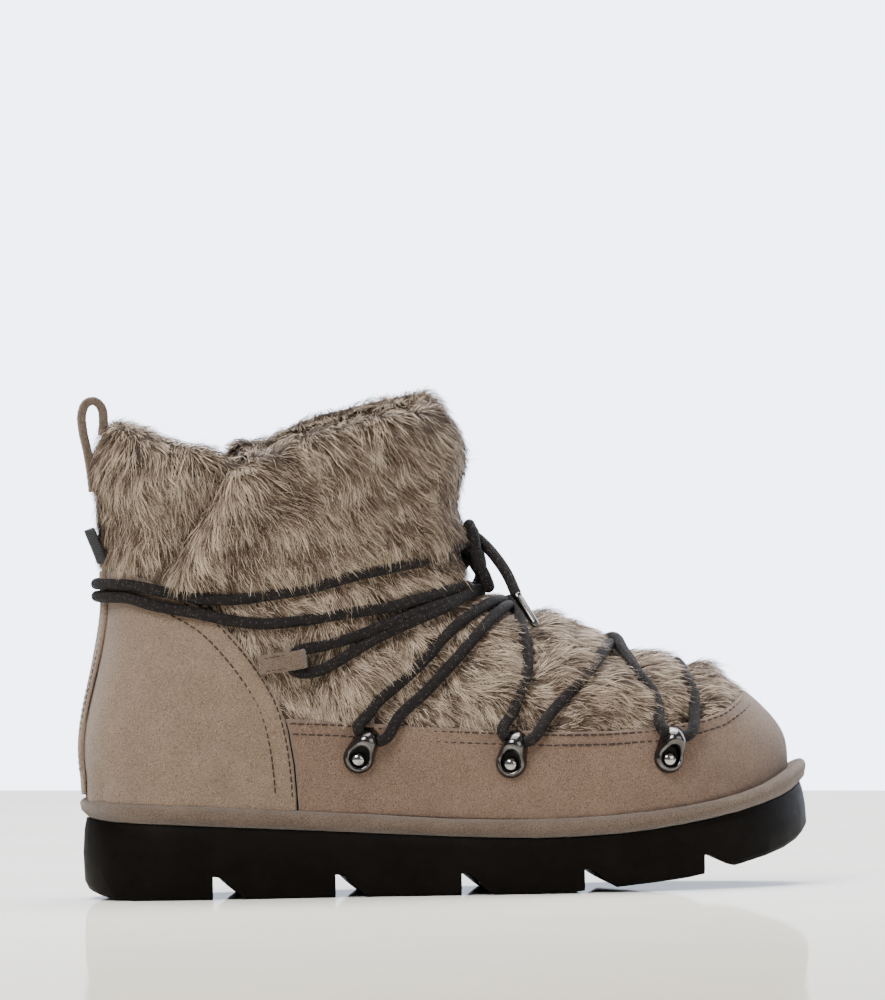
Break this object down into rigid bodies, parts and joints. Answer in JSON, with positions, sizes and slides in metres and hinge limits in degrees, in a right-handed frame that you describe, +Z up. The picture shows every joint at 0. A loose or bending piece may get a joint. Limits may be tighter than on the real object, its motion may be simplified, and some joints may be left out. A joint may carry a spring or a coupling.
{
  "type": "sheepskin lace-up ankle boot",
  "caption": "Right-foot ankle boot of sheepskin with the wool outside, suede guards, lace loops, a cord lace wrapped round the ankle and a thick lugged platform sole; stands empty.",
  "frame": {"origin": "on the tread's flat ground plane, under the waist of the boot, on the sole's long axis", "axes": "+X to the toe, -Y to the outer side of the foot, +Z up"},
  "size_m": [0.2856, 0.1116, 0.1968],
  "materials": {
    "rubber": "matt black rubber with a fine tread edge",
    "suede_wrap": "taupe suede stretched round the midsole",
    "fur": "mixed taupe and dark brown sheep's wool, outside of the skin",
    "fleece": "short wool lining",
    "suede": "taupe suede with a short nap",
    "suede_guard": "pinkish brown suede with a short nap",
    "label": "grey woven tape, blank",
    "gunmetal": "polished dark nickel",
    "lace": "round braided cord, dark brown with light flecks"
  },
  "bodies": {
    "root": {"outsole": "rubber", "midsole_wrap": "suede_wrap", "upper": "fur", "insole": "fleece", "heel_counter": "suede", "mudguard": "suede_guard", "back_stay": "suede", "pull_loop": "suede", "label_tab": "label", "keeper_outer": "suede", "keeper_inner": "suede", "eyelet_outer_1": "gunmetal", "eyelet_outer_2": "gunmetal", "eyelet_outer_3": "gunmetal", "eyelet_inner_1": "gunmetal", "eyelet_inner_2": "gunmetal", "eyelet_inner_3": "gunmetal", "lace_bar": "lace", "lace_cross_low": "lace", "lace_cross_high": "lace", "lace_wrap_low": "lace", "lace_wrap_high": "lace", "lace_knot": "lace", "lace_bow_outer": "lace", "lace_bow_inner": "lace", "lace_end_outer": "lace", "lace_end_inner": "lace", "aglet_outer": "gunmetal", "aglet_inner": "gunmetal"}
  },
  "joints": []
}
